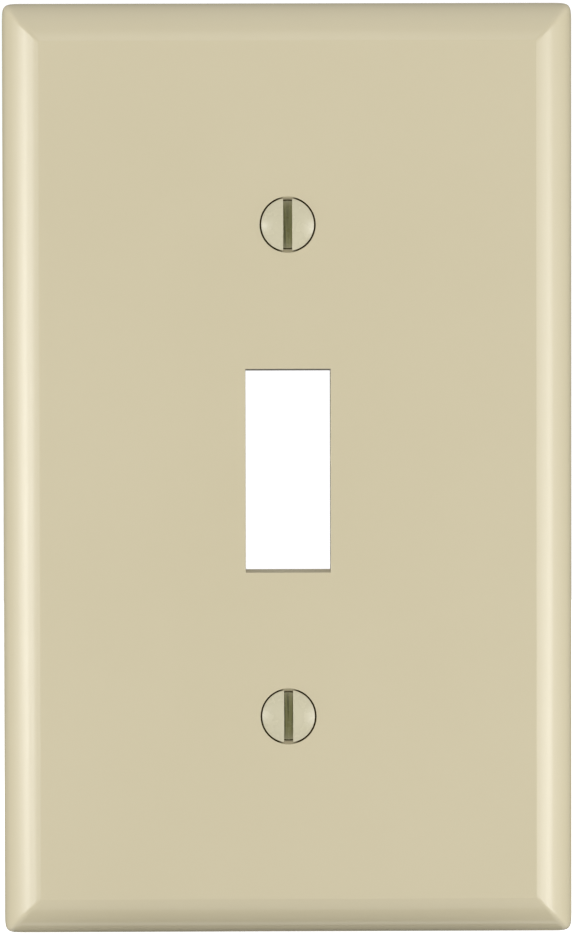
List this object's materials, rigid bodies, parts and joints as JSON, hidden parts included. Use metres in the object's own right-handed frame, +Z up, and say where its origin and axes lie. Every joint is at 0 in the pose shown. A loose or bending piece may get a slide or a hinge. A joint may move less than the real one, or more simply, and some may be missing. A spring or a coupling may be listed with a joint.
{
  "type": "toggle switch wall plate",
  "caption": "Ivory cover plate for a toggle switch, with curved edges, a central slot and slotted oval-head cover screws.",
  "frame": {"origin": "centre of the plate's outline, on the wall plane that its rim bears on", "axes": "+Z up, +Y into the wall, so the plate's front faces -Y; +X is to the viewer's right"},
  "size_m": [0.0698, 0.0135, 0.1142],
  "materials": {
    "ivory_plastic": "gloss",
    "painted_screw": "gloss"
  },
  "bodies": {
    "plate": {"wall_plate": "ivory_plastic"},
    "upper_screw": {"upper_screw": "painted_screw"},
    "lower_screw": {"lower_screw": "painted_screw"}
  },
  "joints": [
    {"name": "upper_screw_turn", "type": "hinge", "parent": "plate", "child": "upper_screw", "pos_m": [0, -0.00547, 0.03016], "axis": [0, 1, 0], "continuous": true},
    {"name": "lower_screw_turn", "type": "hinge", "parent": "plate", "child": "lower_screw", "pos_m": [0, -0.00547, -0.03016], "axis": [0, 1, 0], "continuous": true}
  ]
}
